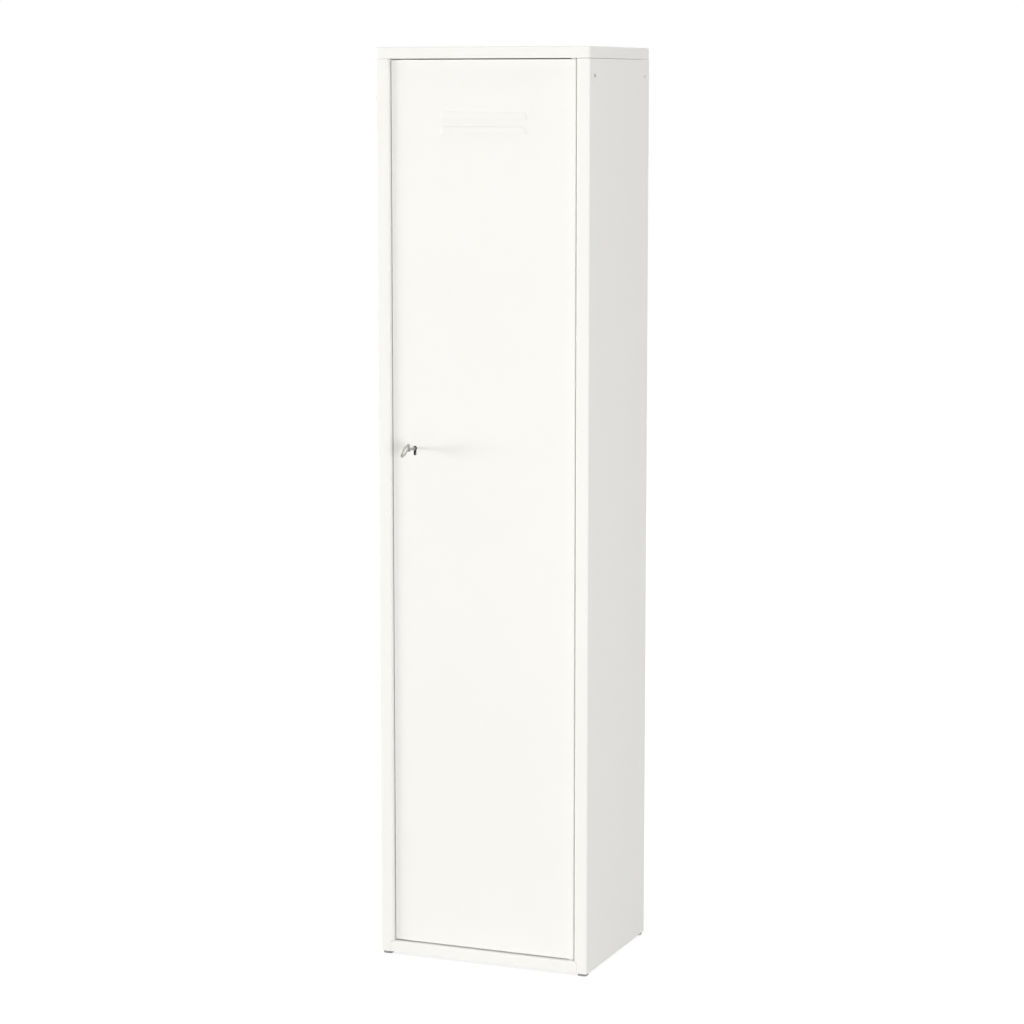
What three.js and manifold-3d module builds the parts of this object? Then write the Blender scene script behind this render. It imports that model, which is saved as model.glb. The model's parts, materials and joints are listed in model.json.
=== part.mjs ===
// A tall, narrow steel side locker for a tool chest, with one inset door on pivot pins and a key lock.
// Millimetres, +Z up. While building, y = 0 is the plane of the front posts and z = 0 is the floor.

import * as THREE from 'three';
import { mergeVertices } from 'three/addons/utils/BufferGeometryUtils.js';
import Module from 'manifold-3d';

const wasm = await Module();
wasm.setup();

// Overall sizes
const WIDTH = 400;
const DEPTH = 300;
const HEIGHT = 1630;

// Sheet steel
const SHEET = 1;
const BEND = 1.5;
const FIT = 0.3;

// Carcass
const POST_WIDTH = 24;
const STOP_WIDTH = 12;
const REAR_FLANGE = 18;
const JOINING_FLANGE = 17;
const CAP_HEIGHT = 20;
const CAP_CORNER = 5;
const CAP_FRONT_RETURN = 30;
const CAP_RETURN = 16;
const CAP_JOINT = 0.6;
const RAIL_HEIGHT = 20;
const RAIL_NOTCH = 19;
const JOINING_HOLE = 6;
const JOINING_HOLE_DROP = 50;
const JOINING_HOLE_INSET = 25;
const BACK_RIB_OFFSET = 75;
const BACK_RIB_WIDTH = 30;
const BACK_RIB_DEPTH = 4;
const BACK_SIDE_GAP = 2;

// Feet
const FOOT_HEIGHT = 5;
const FOOT_SIZE = 18;
const FOOT_CORNER = 6;
const FOOT_EDGE = 1.2;
const FOOT_INSET = 11;
const FOOT_STEM = 6;
const FOOT_STEM_LENGTH = 6;

// Shelves, their slotted uprights and their clips
const SHELF_SLOTS = [4, 9, 14];
const SHELF_LIP = 18;
const SHELF_CLEARANCE = 0.6;
const SHELF_FRONT_GAP = 6;
const SHELF_BACK_GAP = 4;
const UPRIGHT_WIDTH = 20;
const UPRIGHT_DEPTH = 8;
const UPRIGHT_FRONT_GAP = 10;
const UPRIGHT_BACK_GAP = 22;
const UPRIGHT_TOP_GAP = 10;
const SLOT_PITCH = 75;
const SLOT_FIRST = 100;
const SLOT_WIDTH = 3;
const SLOT_HEIGHT = 10;
const CLIP_SHEET = 1.5;
const CLIP_WIDTH = 12;
const CLIP_LEG = 16;
const CLIP_TAB = 11;
const CLIP_HOOK = 4;

// Door
const DOOR_RECESS = 7.5;
const DOOR_THICKNESS = 18;
const DOOR_LOCK_GAP = 1.4;
const DOOR_HINGE_GAP = 4;
const DOOR_END_GAP = 1.6;
const DOOR_LIP = 14;
const BUFFER_GAP = 2;
const BUFFER_DIAMETER = 9;
const BUFFER_STEM = 4;
const BUFFER_FROM_END = 175;
const STIFFENER_WIDTH = 26;
const STIFFENER_DEPTH = 12;
const STIFFENER_FOOT = 12;
const STIFFENER_END_GAP = 30;

// Louvres pressed out of the door, open at the bottom
const LOUVRE_DROPS = [124, 149];
const LOUVRE_LENGTH = 160;
const LOUVRE_HEIGHT = 13;
const LOUVRE_RISE = 2.6;
const LOUVRE_END = 6;

// Pivot pins and bushes
const PIN_DIAMETER = 5;
const PIN_HEAD = 10;
const PIN_HEAD_HEIGHT = 1.5;
const PIN_INSET = 5.5;
const PIN_SETBACK = 5.5;
const BUSH_DIAMETER = 8;
const BUSH_FLANGE = 10;
const BUSH_LENGTH = 8;

// Lock, with its axis measured from the left side of the locker and from the floor
const LOCK_FROM_SIDE = 68.4;
const LOCK_HEIGHT = 928;
const KEYHOLE_DIAMETER = 8;
const KEYHOLE_SLOT = 5.6;
const KEYHOLE_DROP = 12.5;
const CASE_WALL = 1.2;
const CASE_DEPTH = 13;
const CASE_HALF_HEIGHT = 18.5;
const CASE_BEHIND_AXIS = 22;
const EAR_HALF_HEIGHT = 32;
const STUD_DIAMETER = 4;
const STUD_OFFSET = 26;
const STUD_LENGTH = 7.5;
const NUT_SIZE = 7;
const NUT_HEIGHT = 3.2;

// Bolt, thrown by the key through a quarter turn
const BOLT_SHEET = 4;
const BOLT_SETBACK = 4.2;
const BOLT_HALF_HEIGHT = 7;
const BOLT_TAIL_DROP = 15.5;
const BOLT_TAIL_FRONT = 22;
const BOLT_TAIL_BACK = 18;
const BOLT_WITHDRAWN = 2.6;
const BOLT_THROW = 10;
const BOLT_RUN = 0.4;
const TALON_DEPTH = 3.2;
const SPRING_SHEET = 0.6;
const SPRING_WIDTH = 5;
const SPRING_SPAN = 34;

// Key
const KEY_TURN = 90;
const KEY_REST_ANGLE = 28;
const KEY_SHANK = 4.6;
const KEY_COLLAR = 7;
const KEY_COLLAR_LENGTH = 2.5;
const KEY_BIT_RADIUS = 11;
const KEY_BIT_LENGTH = 5;
const KEY_BIT_THICKNESS = 2.4;
const KEY_BIT_WARD = 1.2;
const KEY_BOW_REACH = 42;
const KEY_BOW_WIDTH = 28;
const KEY_BOW_LENGTH = 24;
const KEY_BOW_RIM = 5;
const KEY_BOW_THICKNESS = 2.6;
const KEY_BOW_EDGE = 0.6;

// Places that several pieces share
const half = WIDTH / 2;
const postEdge = half - POST_WIDTH;
const inside = half - SHEET;
const capBottom = HEIGHT - CAP_HEIGHT;
const floorTop = FOOT_HEIGHT + RAIL_HEIGHT;
const stopFront = DOOR_RECESS + DOOR_THICKNESS + BUFFER_GAP;
const stopBack = stopFront + SHEET;
const doorLeft = DOOR_LOCK_GAP - postEdge;
const doorRight = postEdge - DOOR_HINGE_GAP;
const doorBack = DOOR_RECESS + DOOR_THICKNESS;
const skinBack = DOOR_RECESS + SHEET;
const doorBottom = floorTop + DOOR_END_GAP;
const doorTop = capBottom - DOOR_END_GAP;
const pinX = doorRight - PIN_INSET;
const pinY = DOOR_RECESS + PIN_SETBACK;
const backOuter = DEPTH - SHEET - FIT;
const backInner = backOuter - SHEET;
const ribFace = backInner - BACK_RIB_DEPTH;
const lockX = LOCK_FROM_SIDE - half;
const caseFront = skinBack + FIT;
const caseBack = caseFront + CASE_DEPTH;
const coverFront = caseBack - CASE_WALL;
const caseX = [doorLeft + SHEET + BEND + FIT, lockX + CASE_BEHIND_AXIS];
const caseZ = [LOCK_HEIGHT - CASE_HALF_HEIGHT, LOCK_HEIGHT + CASE_HALF_HEIGHT];
const studX = (caseX[0] + caseX[1]) / 2;
const studHeights = [LOCK_HEIGHT - STUD_OFFSET, LOCK_HEIGHT + STUD_OFFSET];
const boltFront = caseFront + BOLT_SETBACK;
const boltBack = boltFront + BOLT_SHEET;
const boltPerDegree = BOLT_THROW / KEY_TURN;
const keyReach = KEY_BOW_REACH + KEY_BOW_LENGTH / 2 - DOOR_RECESS;

// Helpers: solids, prisms and folded sheet

function toSolid(geometry) {
  const bare = geometry.clone();
  bare.deleteAttribute('normal');
  bare.deleteAttribute('uv');
  const merged = mergeVertices(bare, 1e-4);
  const corners = merged.index.array;
  const triangles = [];
  for (let i = 0; i < corners.length; i += 3) {
    const [a, b, c] = corners.slice(i, i + 3);
    if (a !== b && b !== c && c !== a) triangles.push(a, b, c);
  }
  const mesh = new wasm.Mesh({
    numProp: 3,
    vertProperties: new Float32Array(merged.attributes.position.array),
    triVerts: new Uint32Array(triangles),
  });
  return new wasm.Manifold(mesh);
}

function toGeometry(body) {
  const mesh = body.getMesh();
  const geometry = new THREE.BufferGeometry();
  geometry.setAttribute('position', new THREE.BufferAttribute(mesh.vertProperties, 3));
  geometry.setIndex(new THREE.BufferAttribute(mesh.triVerts, 1));
  geometry.computeVertexNormals();
  return geometry;
}

function middle(span) {
  return (span[0] + span[1]) / 2;
}

function block(x, y, z) {
  const box = new THREE.BoxGeometry(x[1] - x[0], y[1] - y[0], z[1] - z[0]);
  box.translate(middle(x), middle(y), middle(z));
  return toSolid(box);
}

function rodAlongX(diameter, x, y, z) {
  const rod = new THREE.CylinderGeometry(diameter / 2, diameter / 2, x[1] - x[0], 16);
  rod.rotateZ(Math.PI / 2);
  rod.translate(middle(x), y, z);
  return toSolid(rod);
}

function rodAlongY(diameter, x, y, z, sides = 16) {
  const rod = new THREE.CylinderGeometry(diameter / 2, diameter / 2, y[1] - y[0], sides);
  rod.translate(x, middle(y), z);
  return toSolid(rod);
}

function rodAlongZ(diameter, x, y, z) {
  const rod = new THREE.CylinderGeometry(diameter / 2, diameter / 2, z[1] - z[0], 16);
  rod.rotateX(Math.PI / 2);
  rod.translate(x, y, middle(z));
  return toSolid(rod);
}

// A profile drawn in y and z, run along x
function prismAlongX(shape, x, options = {}) {
  const prism = new THREE.ExtrudeGeometry(shape, { depth: x[1] - x[0], bevelEnabled: false, ...options });
  const axes = [new THREE.Vector3(0, 1, 0), new THREE.Vector3(0, 0, 1), new THREE.Vector3(1, 0, 0)];
  prism.applyMatrix4(new THREE.Matrix4().makeBasis(...axes));
  prism.translate(x[0], 0, 0);
  return toSolid(prism);
}

// A profile drawn in x and z, run along y
function prismAlongY(shape, y, options = {}) {
  const prism = new THREE.ExtrudeGeometry(shape, { depth: y[1] - y[0], bevelEnabled: false, ...options });
  prism.rotateX(Math.PI / 2);
  prism.translate(0, y[1], 0);
  return toSolid(prism);
}

// A profile drawn in x and y, run along z
function prismAlongZ(shape, z, options = {}) {
  const prism = new THREE.ExtrudeGeometry(shape, { depth: z[1] - z[0], bevelEnabled: false, ...options });
  prism.translate(0, 0, z[0]);
  return toSolid(prism);
}

// Extrusion settings that round both rims of a block inside its outline
function roundedRims(radius, segments = 2) {
  return {
    bevelEnabled: true,
    bevelThickness: radius,
    bevelSize: radius,
    bevelOffset: -radius,
    bevelSegments: segments,
  };
}

function shrink(span, by) {
  return [span[0] + by, span[1] - by];
}

function rectangle(u, v, corner = 0) {
  if (corner === 0) {
    return new THREE.Shape([[u[0], v[0]], [u[1], v[0]], [u[1], v[1]], [u[0], v[1]]].map(
      ([a, b]) => new THREE.Vector2(a, b),
    ));
  }
  const points = [];
  const centres = [[u[0], v[0]], [u[1], v[0]], [u[1], v[1]], [u[0], v[1]]];
  centres.forEach(([a, b], quarter) => {
    const cu = a === u[0] ? a + corner : a - corner;
    const cv = b === v[0] ? b + corner : b - corner;
    const start = Math.PI + (quarter * Math.PI) / 2;
    points.push(...new THREE.EllipseCurve(cu, cv, corner, corner, start, start + Math.PI / 2).getPoints(4));
  });
  return new THREE.Shape(points);
}

// Outline of a folded sheet that lies on the right of a path of straight legs
function foldedSheet(path, sheet = SHEET, bend = BEND) {
  const corners = path.map(([u, v]) => new THREE.Vector2(u, v));
  const heading = (i) => corners[i + 1].clone().sub(corners[i]).normalize();
  const leftOf = (direction) => new THREE.Vector2(-direction.y, direction.x);
  const last = corners.length - 1;
  const near = [corners[0]];
  const far = [corners[0].clone().addScaledVector(leftOf(heading(0)), -sheet)];
  for (let i = 1; i < last; i += 1) {
    const before = heading(i - 1);
    const after = heading(i);
    const turn = Math.sign(before.cross(after));
    const nearRadius = turn > 0 ? bend : bend + sheet;
    const farRadius = turn > 0 ? bend + sheet : bend;
    const setback = nearRadius * Math.tan(Math.acos(before.dot(after)) / 2);
    const centre = corners[i].clone().addScaledVector(before, -setback);
    centre.addScaledVector(leftOf(before), turn * nearRadius);
    const from = leftOf(before).multiplyScalar(-turn).angle();
    const to = leftOf(after).multiplyScalar(-turn).angle();
    const arc = (radius) => new THREE.EllipseCurve(centre.x, centre.y, radius, radius, from, to, turn < 0);
    near.push(...arc(nearRadius).getPoints(3));
    far.push(...arc(farRadius).getPoints(3));
  }
  near.push(corners[last]);
  far.push(corners[last].clone().addScaledVector(leftOf(heading(last - 1)), -sheet));
  return new THREE.Shape([...near, ...far.reverse()]);
}

// The same path on the left (side -1) or the right (side 1) of the locker
function onSide(side, path) {
  return side < 0 ? path : path.map(([u, v]) => [-u, v]).reverse();
}

function spanOnSide(side, from, to) {
  return side < 0 ? [from, to] : [-to, -from];
}

// Materials
const paint = { color: 0xf4f4ef, roughness: 0.42, metalness: 0 };
const zinc = { color: 0xa9a9a6, roughness: 0.38, metalness: 1 };
const nickel = { color: 0xb4b2ad, roughness: 0.28, metalness: 1 };
const greyPlastic = { color: 0x8b8c8c, roughness: 0.6, metalness: 0 };
const paleNylon = { color: 0xe6e5de, roughness: 0.5, metalness: 0 };
const rubber = { color: 0x34363a, roughness: 0.85, metalness: 0 };

const locker = new THREE.Group();

function place(name, body, finish, parent = locker) {
  const mesh = new THREE.Mesh(toGeometry(body), new THREE.MeshStandardMaterial(finish));
  mesh.name = name;
  parent.add(mesh);
}

// Side panels: door stop, return, front post, side and rear flange in one folded sheet
function sidePanel(side) {
  const panelTop = capBottom - CAP_JOINT;
  const path = onSide(side, [
    [-postEdge + STOP_WIDTH, stopFront],
    [-postEdge, stopFront],
    [-postEdge, 0],
    [-half, 0],
    [-half, DEPTH],
    [-half + REAR_FLANGE, DEPTH],
  ]);
  const notchX = spanOnSide(side, -half + RAIL_NOTCH, -postEdge + 2 * STOP_WIDTH);
  const notch = block(notchX, [-SHEET, stopBack + SHEET], [0, floorTop + FIT]);
  const wallGrip = SHEET / 2;
  const flangeX = spanOnSide(side, -half + wallGrip, -half + JOINING_FLANGE);
  const topFlange = block(flangeX, [stopBack + FIT, backInner - FIT], [panelTop - SHEET, panelTop]);
  const bottomFlange = block(flangeX, [wallGrip, DEPTH - wallGrip], [FOOT_HEIGHT, FOOT_HEIGHT + SHEET]);
  let panel = prismAlongZ(foldedSheet(path), [FOOT_HEIGHT, panelTop]).subtract(notch);
  panel = panel.add(topFlange).add(bottomFlange);
  for (const y of [FOOT_INSET, DEPTH - FOOT_INSET]) {
    const stemZ = [FOOT_HEIGHT - SHEET, FOOT_HEIGHT + 2 * SHEET];
    panel = panel.subtract(rodAlongZ(FOOT_STEM + 2 * FIT, side * (half - FOOT_INSET), y, stemZ));
  }
  for (const y of [JOINING_HOLE_INSET, DEPTH - JOINING_HOLE_INSET]) {
    const wallX = spanOnSide(side, -half - SHEET, -half + 2 * SHEET);
    panel = panel.subtract(rodAlongX(JOINING_HOLE, wallX, y, HEIGHT - JOINING_HOLE_DROP));
  }
  return panel;
}

const bufferX = STOP_WIDTH / 2 - postEdge;
const bufferHeights = [doorBottom + BUFFER_FROM_END, doorTop - BUFFER_FROM_END];
let leftPanel = sidePanel(-1);
const strikeX = [-postEdge - 2 * SHEET, -postEdge + SHEET];
const strikeZ = [LOCK_HEIGHT - BOLT_HALF_HEIGHT - 2 * FIT, LOCK_HEIGHT + BOLT_HALF_HEIGHT + 2 * FIT];
leftPanel = leftPanel.subtract(block(strikeX, [boltFront - 2 * FIT, boltBack + 2 * FIT], strikeZ));
for (const z of bufferHeights) {
  const stopY = [stopFront - SHEET, stopBack + SHEET];
  leftPanel = leftPanel.subtract(rodAlongY(BUFFER_STEM + 2 * FIT, bufferX, stopY, z));
}
place('side_panel_left', leftPanel, paint);
place('side_panel_right', sidePanel(1), paint);

// Top cap: a shallow pan turned over, with return flanges that lie on the side panels
function topCap() {
  const x = [-half, half];
  const y = [0, DEPTH];
  const rim = BEND + SHEET;
  const outer = prismAlongZ(rectangle(x, y, CAP_CORNER), [capBottom, HEIGHT - rim], roundedRims(rim, 3));
  const below = block([-WIDTH, WIDTH], [-DEPTH, 2 * DEPTH], [capBottom - 2 * rim, capBottom]);
  const room = rectangle(shrink(x, SHEET), shrink(y, SHEET), CAP_CORNER - SHEET);
  const hollow = prismAlongZ(room, [capBottom + SHEET, HEIGHT - rim], roundedRims(BEND));
  const mouthY = [CAP_FRONT_RETURN, DEPTH - CAP_RETURN];
  const mouth = block(shrink(x, CAP_RETURN), mouthY, [capBottom - SHEET, capBottom + 2 * SHEET]);
  const hollowBelow = block([-WIDTH, WIDTH], [-DEPTH, 2 * DEPTH], [capBottom - 2 * rim, capBottom + SHEET]);
  const pinHole = rodAlongZ(PIN_DIAMETER + 2 * FIT, pinX, pinY, [capBottom - SHEET, capBottom + 2 * SHEET]);
  const pan = outer.subtract(below).subtract(hollow.subtract(hollowBelow));
  return pan.subtract(mouth).subtract(pinHole);
}

place('top_cap', topCap(), paint);

// Base panel: floor, front rail between the posts, and skirts along the sides and the back
function basePanel() {
  const halfWidth = inside - FIT;
  const tongueHalf = half - RAIL_NOTCH - FIT;
  const backEdge = ribFace - FIT;
  const skirtBottom = FOOT_HEIGHT + SHEET + FIT;
  const path = [[0, FOOT_HEIGHT], [0, floorTop], [backEdge, floorTop], [backEdge, skirtBottom]];
  let base = prismAlongX(foldedSheet(path), [-halfWidth, halfWidth]);
  for (const side of [-1, 1]) {
    const shoulder = spanOnSide(side, -half, -tongueHalf);
    base = base.subtract(block(shoulder, [-SHEET, stopBack + FIT], [0, floorTop + SHEET]));
    const skirtX = spanOnSide(side, -halfWidth, -halfWidth + SHEET);
    const skirtY = [stopBack + FIT, backEdge - SHEET / 2];
    base = base.add(block(skirtX, skirtY, [skirtBottom, floorTop - SHEET / 2]));
  }
  const pinHole = rodAlongZ(PIN_DIAMETER + 2 * FIT, pinX, pinY, [floorTop - 2 * SHEET, floorTop + SHEET]);
  return base.subtract(pinHole);
}

place('base_panel', basePanel(), paint);

// Back panel: a sheet with two shallow stiffening ribs, inside the rear flanges
function backPanel() {
  const edge = inside - BACK_SIDE_GAP;
  const ribFoot = BACK_RIB_WIDTH / 2;
  const ribCrest = ribFoot - BACK_RIB_DEPTH;
  const rib = (x) => [
    [x + ribFoot, backOuter],
    [x + ribCrest, backOuter - BACK_RIB_DEPTH],
    [x - ribCrest, backOuter - BACK_RIB_DEPTH],
    [x - ribFoot, backOuter],
  ];
  const path = [[edge, backOuter], ...rib(BACK_RIB_OFFSET), ...rib(-BACK_RIB_OFFSET), [-edge, backOuter]];
  const sheet = foldedSheet(path.reverse());
  return prismAlongZ(sheet, [FOOT_HEIGHT + SHEET + FIT, capBottom - FIT]);
}

place('back_panel', backPanel(), paint);

// Feet: plastic glides pushed into the bottom flanges
function foot(x, y) {
  const seat = FOOT_HEIGHT - FIT;
  const plan = rectangle(
    [x - FOOT_SIZE / 2, x + FOOT_SIZE / 2],
    [y - FOOT_SIZE / 2, y + FOOT_SIZE / 2],
    FOOT_CORNER,
  );
  const pad = prismAlongZ(plan, [FOOT_EDGE, seat - FOOT_EDGE], roundedRims(FOOT_EDGE));
  return pad.add(rodAlongZ(FOOT_STEM, x, y, [seat - FOOT_EDGE, seat + FOOT_STEM_LENGTH]));
}

const footX = half - FOOT_INSET;
place('foot_front_left', foot(-footX, FOOT_INSET), greyPlastic);
place('foot_front_right', foot(footX, FOOT_INSET), greyPlastic);
place('foot_back_left', foot(-footX, DEPTH - FOOT_INSET), greyPlastic);
place('foot_back_right', foot(footX, DEPTH - FOOT_INSET), greyPlastic);

// Shelf uprights: slotted channels along the inside of the side panels
const webFace = inside - FIT - UPRIGHT_DEPTH;
const uprightFronts = {
  front: stopBack + UPRIGHT_FRONT_GAP,
  back: DEPTH - UPRIGHT_BACK_GAP - UPRIGHT_WIDTH,
};
const uprightTop = capBottom - UPRIGHT_TOP_GAP;
const slotCount = 1 + Math.floor((uprightTop - SLOT_HEIGHT - SLOT_FIRST) / SLOT_PITCH);
const slotHeights = Array.from({ length: slotCount }, (_, i) => SLOT_FIRST + i * SLOT_PITCH);

function upright(side, front) {
  const wall = inside - FIT;
  const path = onSide(side, [
    [-wall, front + UPRIGHT_WIDTH],
    [-webFace, front + UPRIGHT_WIDTH],
    [-webFace, front],
    [-wall, front],
  ]);
  let channel = prismAlongZ(foldedSheet(path), [floorTop + FIT, uprightTop]);
  const slotX = spanOnSide(side, -webFace - 2 * SHEET, -webFace + SHEET);
  const slotY = front + UPRIGHT_WIDTH / 2;
  for (const z of slotHeights) {
    const span = [z - SLOT_HEIGHT / 2, z + SLOT_HEIGHT / 2];
    channel = channel.subtract(block(slotX, [slotY - SLOT_WIDTH / 2, slotY + SLOT_WIDTH / 2], span));
  }
  return channel;
}

// Clips: a bent tab that carries the shelf, hooked into a slot of the upright
function clip(side, front, slotZ) {
  const tabTop = slotZ + CLIP_LEG / 2;
  const legFace = webFace - FIT;
  const y = front + UPRIGHT_WIDTH / 2;
  const path = onSide(side, [
    [-legFace, tabTop - CLIP_LEG],
    [-legFace, tabTop],
    [-legFace + CLIP_TAB, tabTop],
  ]);
  const bracket = prismAlongY(foldedSheet(path, CLIP_SHEET, 1), [y - CLIP_WIDTH / 2, y + CLIP_WIDTH / 2]);
  const tongueY = [y - SLOT_WIDTH / 2 + FIT, y + SLOT_WIDTH / 2 - FIT];
  const hookBack = webFace + SHEET + FIT + CLIP_SHEET;
  const tongueZ = [slotZ - SLOT_HEIGHT / 2 + FIT, slotZ];
  const tongue = block(spanOnSide(side, -hookBack, -legFace + CLIP_SHEET / 2), tongueY, tongueZ);
  const hookX = spanOnSide(side, -hookBack, -hookBack + CLIP_SHEET);
  return bracket.add(tongue).add(block(hookX, tongueY, [tongueZ[0] - CLIP_HOOK, slotZ]));
}

// Shelves: pans with turned-down edges
function shelf(slotZ) {
  const bottom = slotZ + CLIP_LEG / 2 + FIT;
  const top = bottom + SHELF_LIP;
  const halfWidth = webFace - FIT - CLIP_SHEET - SHELF_CLEARANCE;
  const x = [-halfWidth, halfWidth];
  const y = [stopBack + SHELF_FRONT_GAP, ribFace - SHELF_BACK_GAP];
  const rim = BEND + SHEET;
  const tray = prismAlongZ(rectangle(x, y), [bottom, top - rim], roundedRims(rim));
  const trimmed = tray.subtract(block([-WIDTH, WIDTH], [-DEPTH, 2 * DEPTH], [bottom - 2 * rim, bottom]));
  const roomZ = [bottom - rim, top - SHEET - BEND];
  const room = rectangle(shrink(x, SHEET), shrink(y, SHEET));
  return trimmed.subtract(prismAlongZ(room, roomZ, roundedRims(BEND)));
}

const sides = { left: -1, right: 1 };
for (const [sideName, side] of Object.entries(sides)) {
  for (const [endName, front] of Object.entries(uprightFronts)) {
    place(`upright_${endName}_${sideName}`, upright(side, front), paint);
    SHELF_SLOTS.forEach((slot, i) => {
      place(`clip_${i + 1}_${endName}_${sideName}`, clip(side, front, slotHeights[slot]), zinc);
    });
  }
}
SHELF_SLOTS.forEach((slot, i) => {
  place(`shelf_${i + 1}`, shelf(slotHeights[slot]), paint);
});

// Door buffers on the stop of the lock side
bufferHeights.forEach((z, i) => {
  const head = rodAlongY(BUFFER_DIAMETER, bufferX, [doorBack + FIT, stopFront - FIT], z);
  const stem = rodAlongY(BUFFER_STEM, bufferX, [stopFront - 2 * FIT, stopBack + SHEET], z);
  place(`door_buffer_${i + 1}`, head.add(stem), rubber);
});

// Pivot pins, riveted to the cap and to the floor, and the flanged bushes that turn on them in the door
function pivotPin(headFace, tip) {
  const up = Math.sign(tip - headFace);
  const profile = [
    [0, headFace - up * PIN_HEAD_HEIGHT],
    [PIN_HEAD / 2, headFace - up * PIN_HEAD_HEIGHT],
    [PIN_HEAD / 2, headFace],
    [PIN_DIAMETER / 2, headFace],
    [PIN_DIAMETER / 2, tip],
    [0, tip],
  ];
  return turned(up > 0 ? profile : profile.reverse());
}

function bush(doorEnd, inward) {
  const flangeFace = doorEnd - inward * (DOOR_END_GAP - FIT);
  const seat = doorEnd - inward * FIT;
  const end = doorEnd + inward * BUSH_LENGTH;
  const bore = PIN_DIAMETER / 2 + FIT;
  const profile = [
    [bore, flangeFace],
    [BUSH_FLANGE / 2, flangeFace],
    [BUSH_FLANGE / 2, seat],
    [BUSH_DIAMETER / 2, seat],
    [BUSH_DIAMETER / 2, end],
    [bore, end],
    [bore, flangeFace],
  ];
  return turned(inward > 0 ? profile : profile.reverse());
}

// A radius and height profile turned about the hinge axis
function turned(profile) {
  const lathe = new THREE.LatheGeometry(profile.map(([r, z]) => new THREE.Vector2(r, z)), 20);
  lathe.rotateX(Math.PI / 2);
  lathe.translate(pinX, pinY, 0);
  return toSolid(lathe);
}

const pinEngagement = BUSH_LENGTH + SHEET;
place('hinge_pin_top', pivotPin(capBottom + SHEET + FIT, doorTop - pinEngagement), zinc);
place('hinge_pin_bottom', pivotPin(floorTop - SHEET - FIT, doorBottom + pinEngagement), zinc);
place('hinge_bush_top', bush(doorTop, -1), paleNylon);
place('hinge_bush_bottom', bush(doorBottom, 1), paleNylon);

// The outside or the inside of a louvre hood: half a flattened capsule standing out of the door skin
function louvreHood(bottom, inset) {
  const height = LOUVRE_HEIGHT - inset;
  const rise = LOUVRE_RISE - inset;
  const back = skinBack + inset;
  const end = LOUVRE_LENGTH / 2 - LOUVRE_END;
  const crown = new THREE.EllipseCurve(DOOR_RECESS, bottom, rise, height, Math.PI / 2, Math.PI).getPoints(6);
  const heel = [new THREE.Vector2(back, bottom), new THREE.Vector2(back, bottom + height)];
  let hood = prismAlongX(new THREE.Shape([...crown, ...heel]), [-end, end]);
  for (const side of [-1, 1]) {
    const ball = new THREE.SphereGeometry(1, 24, 12);
    ball.rotateX(Math.PI / 2);
    ball.scale(LOUVRE_END - inset, rise, height);
    ball.translate(side * end, DOOR_RECESS, bottom);
    const endX = spanOnSide(side, -end - LOUVRE_END, -end);
    hood = hood.add(toSolid(ball).intersect(block(endX, [-DEPTH, back], [bottom, bottom + LOUVRE_HEIGHT])));
  }
  return hood;
}

function keyhole(y) {
  const slotX = [lockX - KEYHOLE_SLOT / 2, lockX + KEYHOLE_SLOT / 2];
  const slot = block(slotX, y, [LOCK_HEIGHT - KEYHOLE_DROP, LOCK_HEIGHT]);
  return rodAlongY(KEYHOLE_DIAMETER, lockX, y, LOCK_HEIGHT, 24).add(slot);
}

// Door panel: a pan with return lips, two louvres, the keyhole and the welded studs that hold the lock
function doorPanel() {
  const x = [doorLeft, doorRight];
  const z = [doorBottom, doorTop];
  const rim = BEND + SHEET;
  const outer = prismAlongY(rectangle(x, z), [DOOR_RECESS + rim, doorBack - rim], roundedRims(rim));
  const roomY = [skinBack + BEND, doorBack - SHEET - BEND];
  const room = prismAlongY(rectangle(shrink(x, SHEET), shrink(z, SHEET)), roomY, roundedRims(BEND));
  const mouthY = [doorBack - 2 * SHEET, doorBack + SHEET];
  let door = outer.subtract(room).subtract(block(shrink(x, DOOR_LIP), mouthY, shrink(z, DOOR_LIP)));
  for (const drop of LOUVRE_DROPS) {
    const bottom = HEIGHT - drop;
    door = door.add(louvreHood(bottom, 0)).subtract(louvreHood(bottom, SHEET));
  }
  for (const end of z) {
    const holeZ = [end - 2 * SHEET, end + 2 * SHEET];
    door = door.subtract(rodAlongZ(BUSH_DIAMETER + 2 * FIT, pinX, pinY, holeZ));
  }
  for (const studZ of studHeights) {
    door = door.add(rodAlongY(STUD_DIAMETER, studX, [skinBack - SHEET / 2, skinBack + STUD_LENGTH], studZ));
  }
  const boltX = [doorLeft - SHEET, doorLeft + 2 * SHEET];
  const boltZ = [LOCK_HEIGHT - BOLT_HALF_HEIGHT - FIT, LOCK_HEIGHT + BOLT_HALF_HEIGHT + FIT];
  door = door.subtract(block(boltX, [boltFront - FIT, boltBack + FIT], boltZ));
  return door.subtract(keyhole([DOOR_RECESS - SHEET, skinBack + SHEET]));
}

place('door_panel', doorPanel(), paint);

// Door stiffener: a hat channel welded to the back of the skin below the louvres
function doorStiffener() {
  const seat = skinBack + FIT;
  const crest = seat + STIFFENER_DEPTH - SHEET;
  const wall = STIFFENER_WIDTH / 2;
  const edge = wall + STIFFENER_FOOT;
  const path = [[edge, seat], [wall, seat], [wall, crest], [-wall, crest], [-wall, seat], [-edge, seat]];
  const top = HEIGHT - Math.max(...LOUVRE_DROPS) - STIFFENER_END_GAP;
  return prismAlongZ(foldedSheet(path), [doorBottom + STIFFENER_END_GAP, top]);
}

place('door_stiffener', doorStiffener(), paint);

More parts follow.
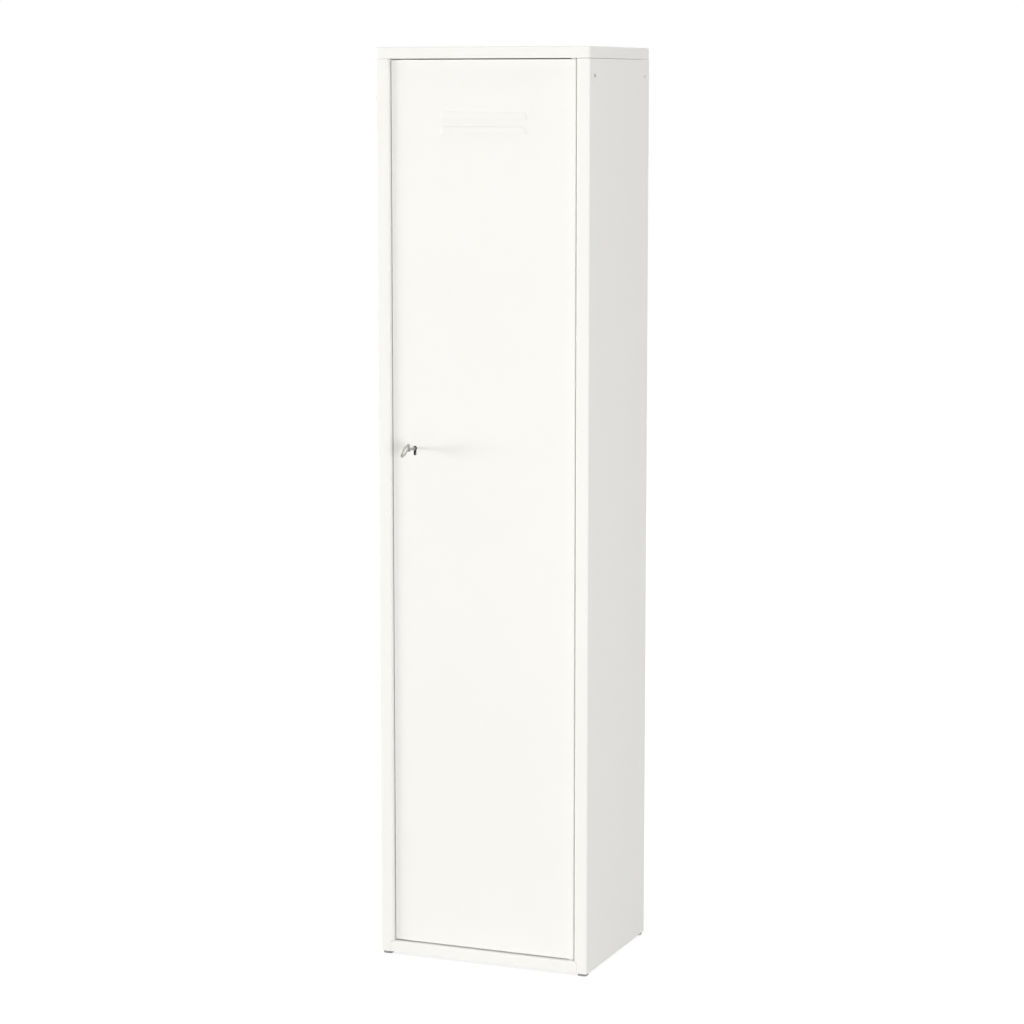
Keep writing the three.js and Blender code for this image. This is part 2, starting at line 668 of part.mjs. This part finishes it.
// Lock case: a tray with ears, closed by a cover plate, on the studs of the door
function lockCase() {
  const wallY = [caseFront, caseFront + CASE_WALL];
  const plate = block(caseX, wallY, [LOCK_HEIGHT - EAR_HALF_HEIGHT, LOCK_HEIGHT + EAR_HALF_HEIGHT]);
  const tray = block(caseX, [caseFront, coverFront - FIT], caseZ);
  const room = block(shrink(caseX, CASE_WALL), [wallY[1], caseBack], shrink(caseZ, CASE_WALL));
  const mouthX = [caseX[0] - CASE_WALL, caseX[0] + 2 * CASE_WALL];
  const mouthZ = [LOCK_HEIGHT - BOLT_HALF_HEIGHT - FIT, LOCK_HEIGHT + BOLT_HALF_HEIGHT + FIT];
  const cutY = [caseFront - CASE_WALL, caseFront + 2 * CASE_WALL];
  let body = plate.add(tray).subtract(room).subtract(keyhole(cutY));
  body = body.subtract(block(mouthX, [boltFront - FIT, boltBack + FIT], mouthZ));
  for (const studZ of studHeights) {
    body = body.subtract(rodAlongY(STUD_DIAMETER + 2 * FIT, studX, cutY, studZ));
  }
  return body;
}

place('lock_case', lockCase(), zinc);

const shankHoleY = [coverFront - CASE_WALL, caseBack + CASE_WALL];
const shankHole = rodAlongY(KEY_SHANK + 2 * FIT, lockX, shankHoleY, LOCK_HEIGHT);
place('lock_cover', block(caseX, [coverFront, caseBack], caseZ).subtract(shankHole), zinc);

studHeights.forEach((z, i) => {
  const nutFront = caseFront + CASE_WALL + FIT;
  const nutY = [nutFront, nutFront + NUT_HEIGHT];
  const hexagon = rodAlongY(NUT_SIZE / Math.cos(Math.PI / 6), studX, nutY, z, 6);
  const bore = rodAlongY(STUD_DIAMETER + 2 * FIT, studX, [nutY[0] - FIT, nutY[1] + FIT], z);
  place(`lock_nut_${i + 1}`, hexagon.subtract(bore), zinc);
});

// Bolt: its talon takes the bit of the key, and leads by as much as the bit runs ahead of a steady throw
function bolt() {
  const halfBit = KEY_BIT_THICKNESS / 2;
  let lead = 0;
  for (let angle = 0; angle <= KEY_TURN; angle += 1) {
    const turn = THREE.MathUtils.degToRad(angle);
    const bitEdge = KEY_BIT_RADIUS * Math.sin(turn) + halfBit * Math.cos(turn);
    lead = Math.max(lead, bitEdge - angle * boltPerDegree);
  }
  const tip = doorLeft + BOLT_WITHDRAWN - lockX;
  const front = -lead - BOLT_RUN;
  const aroundShank = KEY_SHANK / 2 + BOLT_RUN;
  const toothTop = TALON_DEPTH - KEY_BIT_RADIUS;
  const plate = new THREE.Shape();
  plate.moveTo(tip, -BOLT_HALF_HEIGHT);
  plate.lineTo(-BOLT_TAIL_FRONT, -BOLT_HALF_HEIGHT);
  plate.lineTo(-BOLT_TAIL_FRONT, -BOLT_TAIL_DROP);
  plate.lineTo(BOLT_TAIL_BACK, -BOLT_TAIL_DROP);
  plate.lineTo(BOLT_TAIL_BACK, BOLT_HALF_HEIGHT);
  plate.lineTo(tip, BOLT_HALF_HEIGHT);
  const window = new THREE.Path();
  window.moveTo(front, aroundShank);
  window.lineTo(aroundShank + BOLT_THROW, aroundShank);
  window.lineTo(aroundShank + BOLT_THROW, toothTop);
  window.lineTo(halfBit + BOLT_RUN, toothTop);
  window.lineTo(halfBit + BOLT_RUN, -KEY_BIT_RADIUS - BOLT_RUN);
  window.lineTo(front, -KEY_BIT_RADIUS - BOLT_RUN);
  plate.holes.push(window);
  return prismAlongY(plate, [boltFront, boltBack]);
}

const boltSlide = new THREE.Group();
boltSlide.position.set(lockX - KEY_REST_ANGLE * boltPerDegree, 0, LOCK_HEIGHT);
locker.add(boltSlide);
place('lock_bolt', bolt(), nickel, boltSlide);

// Bolt spring: a leaf bowed between the roof of the case and the top of the bolt
function boltSpring() {
  const boltTop = LOCK_HEIGHT + BOLT_HALF_HEIGHT + FIT;
  const roof = caseZ[1] - CASE_WALL - FIT - SPRING_SHEET;
  const path = [[lockX + SPRING_SPAN / 2, roof], [lockX, boltTop], [lockX - SPRING_SPAN / 2, roof]];
  const middleY = (boltFront + boltBack) / 2;
  const leafY = [middleY - SPRING_WIDTH / 2, middleY + SPRING_WIDTH / 2];
  return prismAlongY(foldedSheet(path, SPRING_SHEET, BEND), leafY);
}

place('bolt_spring', boltSpring(), nickel);

// Key: oval bow, shank with a collar, and a warded bit that stands in the talon of the bolt
function key() {
  const bowY = DOOR_RECESS - KEY_BOW_REACH;
  const bowOuter = new THREE.EllipseCurve(bowY, 0, KEY_BOW_LENGTH / 2, KEY_BOW_WIDTH / 2).getPoints(32);
  const bowInner = new THREE.EllipseCurve(
    bowY, 0, KEY_BOW_LENGTH / 2 - KEY_BOW_RIM, KEY_BOW_WIDTH / 2 - KEY_BOW_RIM,
  ).getPoints(24);
  const bowShape = new THREE.Shape(bowOuter.slice(1));
  bowShape.holes.push(new THREE.Path(bowInner.slice(1)));
  const bowX = [-KEY_BOW_THICKNESS / 2 + KEY_BOW_EDGE, KEY_BOW_THICKNESS / 2 - KEY_BOW_EDGE];
  const bow = prismAlongX(bowShape, bowX, roundedRims(KEY_BOW_EDGE));

  const shankStart = bowY + (KEY_BOW_LENGTH - KEY_BOW_RIM) / 2;
  const collarStart = shankStart + KEY_BOW_RIM;
  const radius = KEY_SHANK / 2;
  const shankProfile = [
    [0, shankStart],
    [radius, shankStart],
    [radius, collarStart],
    [KEY_COLLAR / 2, collarStart],
    [KEY_COLLAR / 2, collarStart + KEY_COLLAR_LENGTH],
    [radius, collarStart + KEY_COLLAR_LENGTH],
    [radius, caseBack + FIT],
    [0, caseBack + FIT],
  ].map(([r, y]) => new THREE.Vector2(r, y));
  const shank = toSolid(new THREE.LatheGeometry(shankProfile, 20));

  const bitMiddle = (boltFront + boltBack) / 2;
  const bitX = [-KEY_BIT_THICKNESS / 2, KEY_BIT_THICKNESS / 2];
  const bitY = [bitMiddle - KEY_BIT_LENGTH / 2, bitMiddle + KEY_BIT_LENGTH / 2];
  const bit = block(bitX, bitY, [-KEY_BIT_RADIUS, -radius / 2]);
  const wardY = [bitMiddle - KEY_BIT_WARD / 2, bitMiddle + KEY_BIT_WARD / 2];
  const wardZ = [-KEY_BIT_RADIUS - KEY_BIT_WARD, -KEY_BIT_RADIUS + TALON_DEPTH];
  const ward = block([-KEY_SHANK, KEY_SHANK], wardY, wardZ);
  return bow.add(shank).add(bit.subtract(ward));
}

const keyTurn = new THREE.Group();
keyTurn.position.set(lockX, 0, LOCK_HEIGHT);
keyTurn.rotation.y = THREE.MathUtils.degToRad(KEY_REST_ANGLE);
locker.add(keyTurn);
place('key', key(), nickel, keyTurn);

// The origin lies on the floor, below the middle of the locker and its key together
locker.position.y = (keyReach - DEPTH) / 2;

export default locker;
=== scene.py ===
# A tall white steel side locker for a tool chest: finishes, small fixings, light and camera.
import json
import math

import bmesh
import bpy
from mathutils import Matrix, Vector

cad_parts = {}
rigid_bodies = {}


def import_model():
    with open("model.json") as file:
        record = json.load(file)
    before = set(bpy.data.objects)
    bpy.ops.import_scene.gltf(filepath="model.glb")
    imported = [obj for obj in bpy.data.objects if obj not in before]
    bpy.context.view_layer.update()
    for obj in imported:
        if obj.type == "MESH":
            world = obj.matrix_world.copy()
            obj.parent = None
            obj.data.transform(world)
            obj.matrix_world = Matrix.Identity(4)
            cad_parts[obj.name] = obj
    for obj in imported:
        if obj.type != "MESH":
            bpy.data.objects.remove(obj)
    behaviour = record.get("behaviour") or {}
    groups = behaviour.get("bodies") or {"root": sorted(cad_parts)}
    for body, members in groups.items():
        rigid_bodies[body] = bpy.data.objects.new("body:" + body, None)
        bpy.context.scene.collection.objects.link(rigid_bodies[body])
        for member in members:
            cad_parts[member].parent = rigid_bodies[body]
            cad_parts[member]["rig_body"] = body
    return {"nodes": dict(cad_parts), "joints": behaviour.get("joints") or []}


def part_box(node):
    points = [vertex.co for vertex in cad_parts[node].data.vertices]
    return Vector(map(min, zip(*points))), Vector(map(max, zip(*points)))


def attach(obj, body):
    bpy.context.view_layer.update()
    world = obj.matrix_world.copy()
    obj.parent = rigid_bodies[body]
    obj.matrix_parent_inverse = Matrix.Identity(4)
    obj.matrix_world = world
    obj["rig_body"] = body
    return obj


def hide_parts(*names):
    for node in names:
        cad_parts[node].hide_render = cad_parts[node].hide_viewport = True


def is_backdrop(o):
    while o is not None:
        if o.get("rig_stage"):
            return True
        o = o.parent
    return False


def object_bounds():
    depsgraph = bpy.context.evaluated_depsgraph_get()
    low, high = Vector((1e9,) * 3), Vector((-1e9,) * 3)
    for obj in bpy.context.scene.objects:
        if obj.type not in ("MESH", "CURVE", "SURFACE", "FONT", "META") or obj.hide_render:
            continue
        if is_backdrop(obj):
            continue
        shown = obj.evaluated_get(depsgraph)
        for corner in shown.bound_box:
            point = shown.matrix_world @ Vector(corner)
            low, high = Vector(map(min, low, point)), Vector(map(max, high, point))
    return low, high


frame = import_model()
cad_low, cad_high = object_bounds()

# Carcass and door sheets
# Folded mild steel of about 0.8 mm, spot welded together and then powder coated warm white in one go,
# so every sheet has the same satin coat with a faint orange peel over slight waves and weld marks.
MM = 0.001
LARGE_FACES_RULE = 100
JOIN_DISTANCE = 0.005 * MM
FLAT_ANGLE = math.radians(0.4)
CREASE_ANGLE = math.radians(32)
COAT_ROUGHNESS = 0.4
COAT_SPECULAR = 0.42
CLOUD_ROUGHNESS = 0.08
PEEL_ROUGHNESS = 0.04
PEEL_HEIGHT = 0.012 * MM
WAVE_HEIGHT = 0.15 * MM
WELD_RADIUS = 3.2 * MM
WELD_DEPTH = 0.6 * MM
WELD_PITCH = 90 * MM
WELD_OUT = 191 * MM
WELD_REACH = 0.5 * MM


class Field:
    """A shader socket that takes Python arithmetic and makes other nodes in its tree."""

    def __init__(self, tree, socket=None):
        self.tree = tree
        self.socket = socket

    def node(self, kind, settings, inputs, output=0):
        made = self.tree.nodes.new(kind)
        for name, value in settings.items():
            setattr(made, name, value)
        for name, value in inputs.items():
            if isinstance(value, Field):
                self.tree.links.new(value.socket, made.inputs[name])
            else:
                made.inputs[name].default_value = value
        return Field(self.tree, made.outputs[output])

    def math(self, operation, first, second):
        return self.node("ShaderNodeMath", {"operation": operation}, {0: first, 1: second})

    def __add__(self, other):
        return self.math("ADD", self, other)

    def __sub__(self, other):
        return self.math("SUBTRACT", self, other)

    def __rsub__(self, other):
        return self.math("SUBTRACT", other, self)

    def __mul__(self, other):
        return self.math("MULTIPLY", self, other)

    __radd__ = __add__
    __rmul__ = __mul__


def linear(red, green, blue):
    """Linear light from the red, green and blue of a picture, each 0 to 255."""
    def channel(value):
        value = value / 255
        return value / 12.92 if value <= 0.04045 else ((value + 0.055) / 1.055) ** 2.4

    return (channel(red), channel(green), channel(blue), 1.0)


def new_material(name):
    material = bpy.data.materials.new(name)
    material.use_nodes = True
    tree = material.node_tree
    shader = tree.nodes["Principled BSDF"]
    place = Field(tree).node("ShaderNodeTexCoord", {}, {}, output="Object")
    return material, shader, place


def noise(place, per_metre, detail=2.0, stretch=(1, 1, 1)):
    spread = place.node("ShaderNodeMapping", {}, {"Vector": place, "Scale": stretch})
    return place.node("ShaderNodeTexNoise", {}, {"Vector": spread, "Scale": per_metre, "Detail": detail})


def blend_colours(amount, first, second):
    settings = {"data_type": "RGBA"}
    return amount.node("ShaderNodeMix", settings, {0: amount, 6: first, 7: second}, output=2)


def raise_surface(shader, height, strength, distance):
    inputs = {"Height": height, "Strength": strength, "Distance": distance}
    link(height.node("ShaderNodeBump", {}, inputs), shader, "Normal")


def link(field, shader, socket):
    field.tree.links.new(field.socket, shader.inputs[socket])


def weld_dimples(place):
    """Round dips of spot welds, in rows up the two flanges that hold the back panel."""
    x, y, z = (place.node("ShaderNodeSeparateXYZ", {}, {0: place}, output=axis) for axis in range(3))
    across = x.math("ABSOLUTE", x, 0) - WELD_OUT
    along = z.math("PINGPONG", z, WELD_PITCH / 2)
    from_centre = (across * across + along * along) * (1 / WELD_RADIUS ** 2)
    dip = 1 - from_centre.math("MINIMUM", from_centre * from_centre, 1)
    on_flange = y.math("GREATER_THAN", y, cad_high.y - WELD_REACH)
    return dip * on_flange


def powder_coat():
    material, shader, place = new_material("white_powder_coat")
    clouds = noise(place, per_metre=3.5, detail=3.0)
    peel = noise(place, per_metre=420)
    link(blend_colours(clouds, linear(247, 246, 241), linear(250, 249, 245)), shader, "Base Color")
    link(clouds * CLOUD_ROUGHNESS + COAT_ROUGHNESS + peel * PEEL_ROUGHNESS, shader, "Roughness")
    shader.inputs["Specular IOR Level"].default_value = COAT_SPECULAR
    height = peel * PEEL_HEIGHT + clouds * WAVE_HEIGHT - weld_dimples(place) * WELD_DEPTH
    raise_surface(shader, height, strength=1, distance=1)
    return material


def dressed_copy(node, material):
    """A node's own shape with its triangles joined and its bends shaded smooth."""
    bm = bmesh.new()
    bm.from_mesh(frame["nodes"][node].data)
    bmesh.ops.remove_doubles(bm, verts=bm.verts, dist=JOIN_DISTANCE)
    bmesh.ops.dissolve_limit(bm, angle_limit=FLAT_ANGLE, verts=bm.verts, edges=bm.edges)
    return finished(bm, f"{node}_dressed", material, frame["nodes"][node]["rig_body"], [node])


def finished(bm, name, material, body, stands_for=()):
    """The mesh as a piece on its body, with its bends shaded smooth and its flat faces left flat."""
    for face in bm.faces:
        face.smooth = True
    for edge in bm.edges:
        edge.smooth = edge.calc_face_angle(math.pi) < CREASE_ANGLE
    mesh = bpy.data.meshes.new(name)
    bm.to_mesh(mesh)
    bm.free()
    mesh.materials.append(material)
    piece = bpy.data.objects.new(name, mesh)
    bpy.context.scene.collection.objects.link(piece)
    flat_sheets = piece.modifiers.new("flat_sheets", "WEIGHTED_NORMAL")
    flat_sheets.weight = LARGE_FACES_RULE
    flat_sheets.keep_sharp = True
    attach(piece, body)
    if stands_for:
        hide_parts(*stands_for)
    return piece


white = powder_coat()
for sheet in ("side_panel_left", "side_panel_right", "top_cap", "base_panel", "back_panel"):
    dressed_copy(sheet, white)

# Glide feet
# Grey polypropylene pads pushed into the bottom flanges: a square sole with rounded corners and edges,
# and a round stem that stands in the hole of the flange.
FOOT_RIM = 1.2 * MM
FOOT_CORNER = 6 * MM
STEM_DIAMETER = 6 * MM
SEAT_GAP = 0.3 * MM
SAME_PLANE = 0.001 * MM
FOOT_ROUGHNESS = 0.5
FOOT_GRAIN_ROUGHNESS = 0.15


def grey_polypropylene():
    material, shader, place = new_material("grey_polypropylene")
    grain = noise(place, per_metre=900, detail=3.0)
    scuff = noise(place, per_metre=160, detail=4.0)
    link(blend_colours(scuff, linear(140, 141, 142), linear(160, 161, 161)), shader, "Base Color")
    link(grain * FOOT_GRAIN_ROUGHNESS + FOOT_ROUGHNESS, shader, "Roughness")
    raise_surface(shader, grain, strength=0.4, distance=0.08 * MM)
    return material


def edges_where(bm, test):
    return [edge for edge in bm.edges if test(*(vert.co for vert in edge.verts))]


def round_edges(bm, edges, radius, segments):
    bmesh.ops.bevel(
        bm, geom=edges, offset=radius, offset_type="OFFSET", segments=segments,
        profile=0.5, affect="EDGES", material=-1, clamp_overlap=True,
    )


def box_between(bm, low, high):
    size = Vector(high) - Vector(low)
    centre = (Vector(high) + Vector(low)) / 2
    place = Matrix.Translation(centre) @ Matrix.Diagonal((*size, 1))
    return bmesh.ops.create_cube(bm, size=1, matrix=place)["verts"]


def cylinder_along(bm, start, end, radius, sides=32):
    start, end = Vector(start), Vector(end)
    turn = Vector((0, 0, 1)).rotation_difference(end - start).to_matrix().to_4x4()
    place = Matrix.Translation((start + end) / 2) @ turn
    made = bmesh.ops.create_cone(
        bm, cap_ends=True, segments=sides, radius1=radius, radius2=radius,
        depth=(end - start).length, matrix=place,
    )
    return made["verts"]


plastic = grey_polypropylene()
for foot in ("foot_front_left", "foot_front_right", "foot_back_left", "foot_back_right"):
    low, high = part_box(foot)
    middle = (low + high) / 2
    sole_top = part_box("side_panel_left")[0].z - SEAT_GAP
    bm = bmesh.new()
    box_between(bm, low, (high.x, high.y, sole_top))
    upright_edges = edges_where(bm, lambda a, b: abs(a.z - b.z) > SAME_PLANE)
    round_edges(bm, upright_edges, FOOT_CORNER, segments=6)
    level_edges = edges_where(bm, lambda a, b: abs(a.z - b.z) < SAME_PLANE)
    round_edges(bm, level_edges, FOOT_RIM, segments=3)
    stem_foot = (middle.x, middle.y, sole_top - FOOT_RIM)
    cylinder_along(bm, stem_foot, (middle.x, middle.y, high.z), STEM_DIAMETER / 2)
    finished(bm, f"{foot}_glide", plastic, "cabinet", stands_for=[foot])

# Shelf uprights and shelves
# Slotted channels spot welded inside the side panels, and loose shelves with turned-down edges,
# both coated with the carcass.
for upright in sorted(n for n in frame["nodes"] if n.startswith("upright_")):
    dressed_copy(upright, white)
for shelf in ("shelf_1", "shelf_2", "shelf_3"):
    dressed_copy(shelf, white)

# Shelf clips
# Small pressed hooks of zinc plated steel that hang in the slots and carry the shelf corners. The
# plating has a cloudy bloom and fine drawn scratches.
SCRATCH_STRETCH = (1, 1, 6)
SCRATCH_ROUGHNESS = 0.18
BLOOM_ROUGHNESS = 0.1


def plated_steel(name, dark, light, roughness):
    material, shader, place = new_material(name)
    bloom = noise(place, per_metre=180, detail=4.0)
    scratches = noise(place, per_metre=700, stretch=SCRATCH_STRETCH)
    link(blend_colours(bloom, dark, light), shader, "Base Color")
    link(scratches * SCRATCH_ROUGHNESS + bloom * BLOOM_ROUGHNESS + roughness, shader, "Roughness")
    shader.inputs["Metallic"].default_value = 1.0
    raise_surface(shader, scratches, strength=0.2, distance=0.02 * MM)
    return material


zinc = plated_steel("bright_zinc", linear(176, 178, 180), linear(200, 201, 200), roughness=0.24)
for clip in sorted(n for n in frame["nodes"] if n.startswith("clip_")):
    dressed_copy(clip, zinc)

# Pivot pins, bushes and door buffers
# The door turns on two riveted steel pins in flanged nylon bushes, and closes on two rubber buttons
# pressed into the stop. The nylon and the rubber keep the fine grain of their moulds.
MOULD_ROUGHNESS = 0.1


def moulded(name, dark, light, roughness):
    material, shader, place = new_material(name)
    grain = noise(place, per_metre=1200)
    link(blend_colours(grain, dark, light), shader, "Base Color")
    link(grain * MOULD_ROUGHNESS + roughness, shader, "Roughness")
    raise_surface(shader, grain, strength=0.3, distance=0.04 * MM)
    return material


nylon = moulded("natural_nylon", linear(226, 225, 216), linear(236, 235, 228), roughness=0.4)
rubber = moulded("dark_rubber", linear(44, 45, 48), linear(58, 59, 62), roughness=0.72)
for end in ("top", "bottom"):
    dressed_copy(f"hinge_pin_{end}", zinc)
    dressed_copy(f"hinge_bush_{end}", nylon)
for button in ("door_buffer_1", "door_buffer_2"):
    dressed_copy(button, rubber)

# Door
# A folded pan with return lips and two pressed louvres, stiffened by a hat channel welded behind the
# skin, and coated like the carcass.
for sheet in ("door_panel", "door_stiffener"):
    dressed_copy(sheet, white)

# Lock
# A zinc plated lock on two welded studs, with a cover held by four small round-headed screws, and a
# nickel plated bolt under a leaf spring.
nickel = plated_steel("dull_nickel", linear(160, 158, 155), linear(186, 184, 180), roughness=0.2)
SCREW_HEAD = 4.5 * MM
SCREW_HEAD_HEIGHT = 1.4 * MM
SCREW_INSET = 4 * MM
for steel_piece in ("lock_case", "lock_cover", "lock_nut_1", "lock_nut_2"):
    dressed_copy(steel_piece, zinc)
for steel_piece in ("lock_bolt", "bolt_spring"):
    dressed_copy(steel_piece, nickel)
low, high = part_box("lock_cover")
bm = bmesh.new()
for x in (low.x + SCREW_INSET, high.x - SCREW_INSET):
    for z in (low.z + SCREW_INSET, high.z - SCREW_INSET):
        top = high.y + SCREW_HEAD_HEIGHT
        head = cylinder_along(bm, (x, high.y, z), (x, top, z), SCREW_HEAD / 2, sides=24)
        crown = [vert for vert in head if vert.co.y > top - SAME_PLANE]
        rim = [edge for edge in bm.edges if all(vert in crown for vert in edge.verts)]
        round_edges(bm, rim, SCREW_HEAD_HEIGHT / 2, segments=3)
finished(bm, "lock_cover_screws", zinc, "door")

# Key
# A nickel plated key left in the lock, turned a little: an oval bow, a round shank with a collar, and
# a bit that stands in the talon of the bolt.
KEY_ANGLE = math.radians(28)
CORNER_ANGLE = math.radians(60)
BOW_LENGTH = 24 * MM
BOW_WIDTH = 28 * MM
BOW_RIM = 5 * MM
BOW_THICKNESS = 2.6 * MM
BOW_ROUNDING = 0.9 * MM
SHANK_DIAMETER = 4.6 * MM
COLLAR_DIAMETER = 7 * MM
COLLAR_LENGTH = 2.5 * MM
BIT_RADIUS = 11 * MM
BIT_LENGTH = 5 * MM
BIT_THICKNESS = 2.4 * MM
key_low, key_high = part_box("key")
bolt_low, bolt_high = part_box("lock_bolt")
turn_joint = next(joint for joint in frame["joints"] if joint["name"] == "key_turn")
axis_point = Vector(turn_joint["pos_m"])
bow_y = key_low.y + BOW_LENGTH / 2
bm = bmesh.new()
ring = bmesh.ops.create_circle(bm, cap_ends=False, radius=1, segments=72)["verts"]
for vert in ring:
    vert.co = Vector((-BOW_THICKNESS / 2, vert.co.x * BOW_LENGTH / 2, vert.co.y * BOW_WIDTH / 2))
inner = bmesh.ops.extrude_edge_only(bm, edges=bm.edges[:])["geom"]
inward = Vector((1, 1 - 2 * BOW_RIM / BOW_LENGTH, 1 - 2 * BOW_RIM / BOW_WIDTH))
bmesh.ops.scale(bm, vec=inward, verts=[part for part in inner if isinstance(part, bmesh.types.BMVert)])
face_side = bmesh.ops.extrude_face_region(bm, geom=bm.faces[:])["geom"]
raised = [part for part in face_side if isinstance(part, bmesh.types.BMVert)]
bmesh.ops.translate(bm, vec=(BOW_THICKNESS, 0, 0), verts=raised)
bmesh.ops.recalc_face_normals(bm, faces=bm.faces)
corners = [edge for edge in bm.edges if edge.calc_face_angle(0) > CORNER_ANGLE]
round_edges(bm, corners, BOW_ROUNDING, segments=3)
bmesh.ops.translate(bm, vec=(0, bow_y - axis_point.y, 0), verts=bm.verts)
shank_start = bow_y + (BOW_LENGTH - BOW_RIM) / 2 - axis_point.y
collar_start = shank_start + BOW_RIM
tip = key_high.y - axis_point.y
cylinder_along(bm, (0, shank_start, 0), (0, tip, 0), SHANK_DIAMETER / 2)
collar_end = collar_start + COLLAR_LENGTH
collar = cylinder_along(bm, (0, collar_start, 0), (0, collar_end, 0), COLLAR_DIAMETER / 2)
collar_edges = [edge for edge in bm.edges if all(vert in collar for vert in edge.verts)]
collar_corners = [edge for edge in collar_edges if edge.calc_face_angle(0) > CORNER_ANGLE]
round_edges(bm, collar_corners, COLLAR_LENGTH / 4, segments=3)
bit_y = (bolt_low.y + bolt_high.y) / 2 - axis_point.y
box_between(
    bm,
    (-BIT_THICKNESS / 2, bit_y - BIT_LENGTH / 2, -BIT_RADIUS),
    (BIT_THICKNESS / 2, bit_y + BIT_LENGTH / 2, 0),
)
place = Matrix.Translation(axis_point) @ Matrix.Rotation(KEY_ANGLE, 4, "Y")
bmesh.ops.transform(bm, matrix=place, verts=bm.verts)
finished(bm, "key_turned", nickel, "key", stands_for=["key"])

# Studio
# A white sweep: the camera sees it white, and it still takes the soft shadow of the locker.
AMBIENT = 0.52
FLOOR_BOUNCE = 0.7
FLOOR_SHADOW = 0.3
FLOOR_SIZE = 30


def seen_directly(tree):
    rays = tree.nodes.new("ShaderNodeLightPath")
    camera = Field(tree, rays.outputs["Is Camera Ray"])
    glossy = Field(tree, rays.outputs["Is Glossy Ray"])
    through = Field(tree, rays.outputs["Is Transmission Ray"])
    return camera.math("MAXIMUM", camera, camera.math("MAXIMUM", glossy, through))


world = bpy.data.worlds.new("white_studio")
world.use_nodes = True
bpy.context.scene.world = world
sky = world.node_tree.nodes["Background"]
seen = seen_directly(world.node_tree)
link(seen * (1 - AMBIENT) + AMBIENT, sky, "Strength")
sky.inputs["Color"].default_value = (1, 1, 1, 1)

sweep = bpy.data.materials.new("white_sweep")
sweep.use_nodes = True
tree = sweep.node_tree
tree.nodes.remove(tree.nodes["Principled BSDF"])
seen = seen_directly(tree)
bounce, shaded = (
    seen.node("ShaderNodeBsdfDiffuse", {}, {"Color": (grey, grey, grey, 1)}, "BSDF")
    for grey in (FLOOR_BOUNCE, FLOOR_SHADOW)
)
glow = seen.node("ShaderNodeEmission", {}, {"Strength": 1 - FLOOR_SHADOW * AMBIENT}, "Emission")
shown = seen.node("ShaderNodeAddShader", {}, {0: shaded, 1: glow}, "Shader")
floor_shader = seen.node("ShaderNodeMixShader", {}, {0: seen, 1: bounce, 2: shown}, "Shader")
tree.links.new(floor_shader.socket, tree.nodes["Material Output"].inputs["Surface"])
bm = bmesh.new()
bmesh.ops.create_grid(bm, x_segments=1, y_segments=1, size=FLOOR_SIZE / 2)
mesh = bpy.data.meshes.new("floor")
bm.to_mesh(mesh)
bm.free()
mesh.materials.append(sweep)
floor = bpy.data.objects.new("floor", mesh)
bpy.context.scene.collection.objects.link(floor)
floor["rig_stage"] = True

# Softboxes: one on the hinge side lights the front and the right side, and a broad one far to the left
# grazes the front, so that the left post shades the edge of the door. Two weak ones fill the back and
# the top.


def softbox(name, angle, distance, height, size, power):
    """A soft lamp aimed at the locker, at an angle to the right of straight before the door."""
    lamp = bpy.data.lights.new(name, "AREA")
    lamp.shape = "RECTANGLE"
    lamp.size, lamp.size_y = size
    lamp.energy = power
    turn = math.radians(angle)
    stand = Vector((math.sin(turn) * distance, -math.cos(turn) * distance, height))
    aim = Vector((0, 0, (cad_low.z + cad_high.z) / 2))
    piece = bpy.data.objects.new(name, lamp)
    piece.location = stand
    piece.rotation_euler = (aim - stand).to_track_quat("-Z", "Y").to_euler()
    bpy.context.scene.collection.objects.link(piece)


softbox("front_softbox", angle=39, distance=6, height=0.85, size=(2.4, 1.5), power=130)
softbox("left_softbox", angle=-66, distance=8, height=0.85, size=(2.8, 1.5), power=280)
softbox("back_softbox", angle=180, distance=6, height=0.85, size=(0.3, 1.5), power=60)
softbox("top_softbox", angle=0, distance=0.5, height=6, size=(1.5, 1.5), power=36)

# Camera, well back on the hinge side and just below the top of the locker.
CAMERA_LENS = 104.27
CAMERA_YAW = math.radians(22.306)
CAMERA_PITCH = math.radians(8.121)
CAMERA_RIGHT = 2.0074
CAMERA_BEFORE_FRONT = 4.7537
CAMERA_HEIGHT = 1.5581
CAMERA_REACH = 100
lens = bpy.data.cameras.new("photo_view")
lens.lens = CAMERA_LENS
lens.clip_end = CAMERA_REACH
camera = bpy.data.objects.new("photo_view", lens)
camera.location = (CAMERA_RIGHT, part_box("side_panel_left")[0].y - CAMERA_BEFORE_FRONT, CAMERA_HEIGHT)
camera.rotation_euler = (math.pi / 2 - CAMERA_PITCH, 0, CAMERA_YAW)
bpy.context.scene.collection.objects.link(camera)
bpy.context.scene.camera = camera
bpy.context.scene.view_settings.view_transform = "Standard"

low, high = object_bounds()
